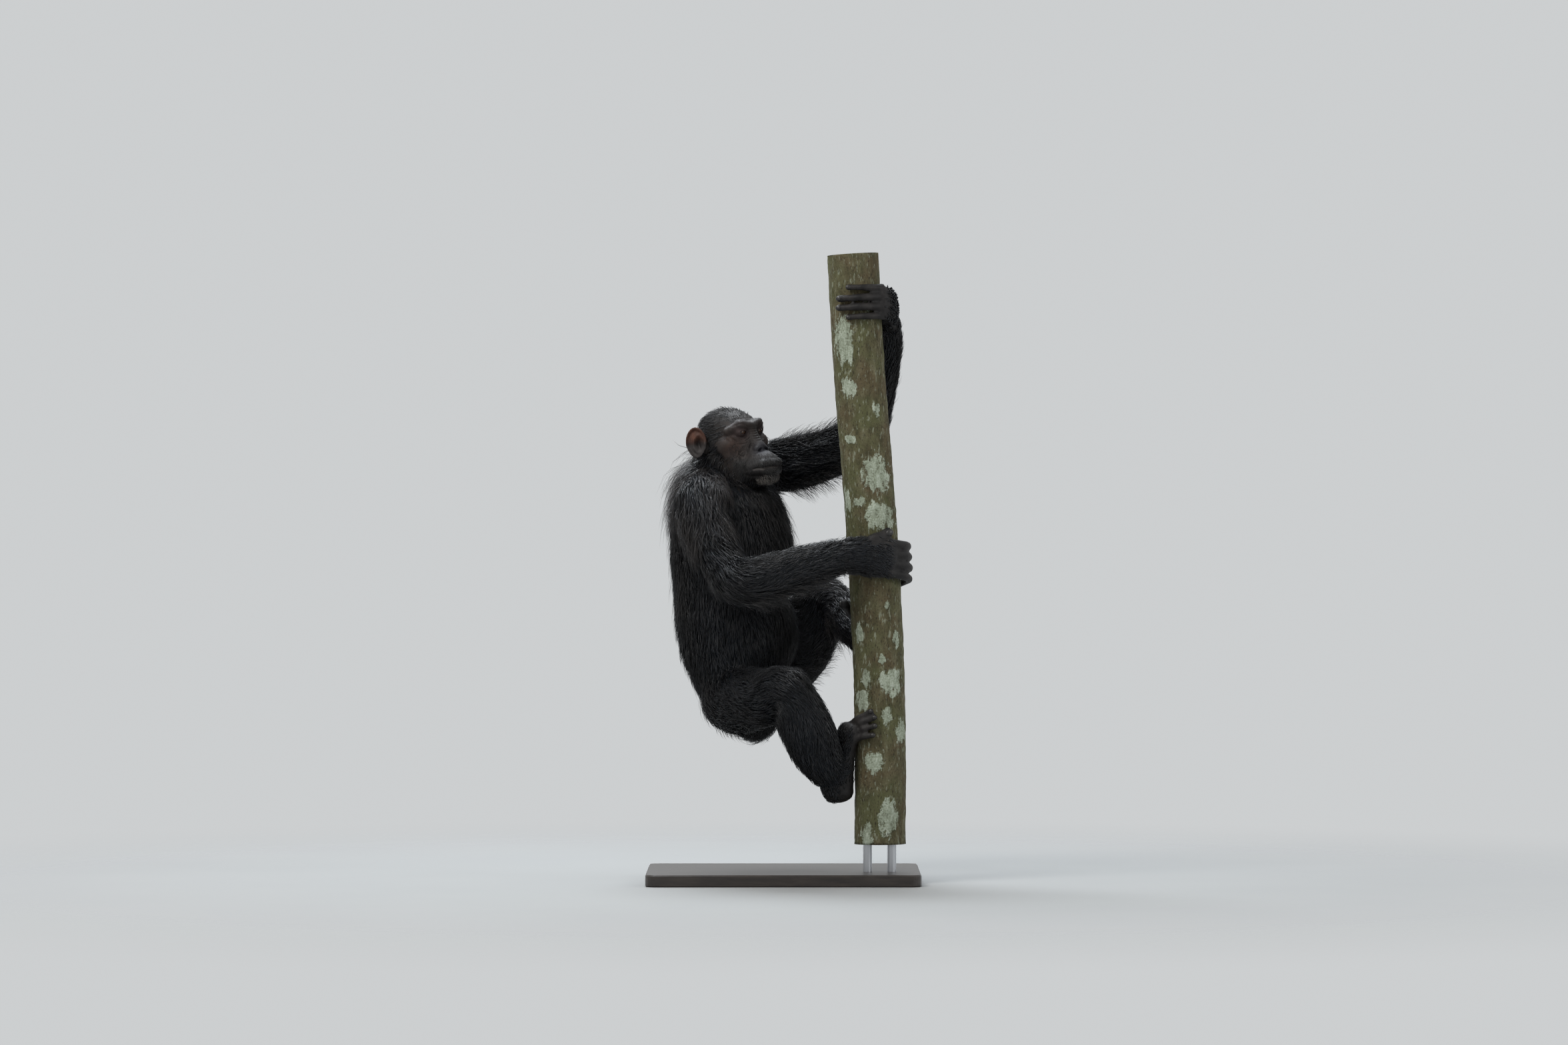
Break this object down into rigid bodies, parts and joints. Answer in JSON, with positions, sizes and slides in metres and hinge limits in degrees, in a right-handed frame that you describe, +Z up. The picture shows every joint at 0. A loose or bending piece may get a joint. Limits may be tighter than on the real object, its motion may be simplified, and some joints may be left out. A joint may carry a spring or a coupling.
{
  "type": "chimpanzee model",
  "caption": "Still, life-size museum model of an adult chimpanzee climbing a slim tree trunk, held up by the trunk on a flat display stand",
  "frame": {"origin": "centre of the underside of the stand's flat base", "axes": "+Z is up along the trunk, +X runs along the base's long side towards the trunk, and -Y is the side the animal turns its right flank and face to"},
  "size_m": [0.68, 0.5299, 1.5659],
  "materials": {
    "coat": "coarse black hair with a faint sheen",
    "face_skin": "dark grey-brown skin, satin",
    "ear_skin": "reddish-brown skin, satin",
    "hand_skin": "near-black skin, satin",
    "eye": "wet gloss",
    "bark": "rough bark with pale lichen",
    "stand_wood": "dark stain, satin",
    "steel": "brushed"
  },
  "bodies": {
    "root": {"stand_base": "stand_wood", "stand_rod_left": "steel", "stand_rod_right": "steel", "perch_trunk": "bark", "head": "face_skin", "ear_left": "ear_skin", "ear_right": "ear_skin", "eye_left": "eye", "eye_right": "eye", "torso": "coat", "neck": "coat", "upper_arm_left": "coat", "upper_arm_right": "coat", "forearm_left": "coat", "forearm_right": "coat", "hand_left": "hand_skin", "hand_right": "hand_skin", "thigh_left": "coat", "thigh_right": "coat", "lower_leg_left": "coat", "lower_leg_right": "coat", "foot_left": "hand_skin", "foot_right": "hand_skin"}
  },
  "joints": []
}
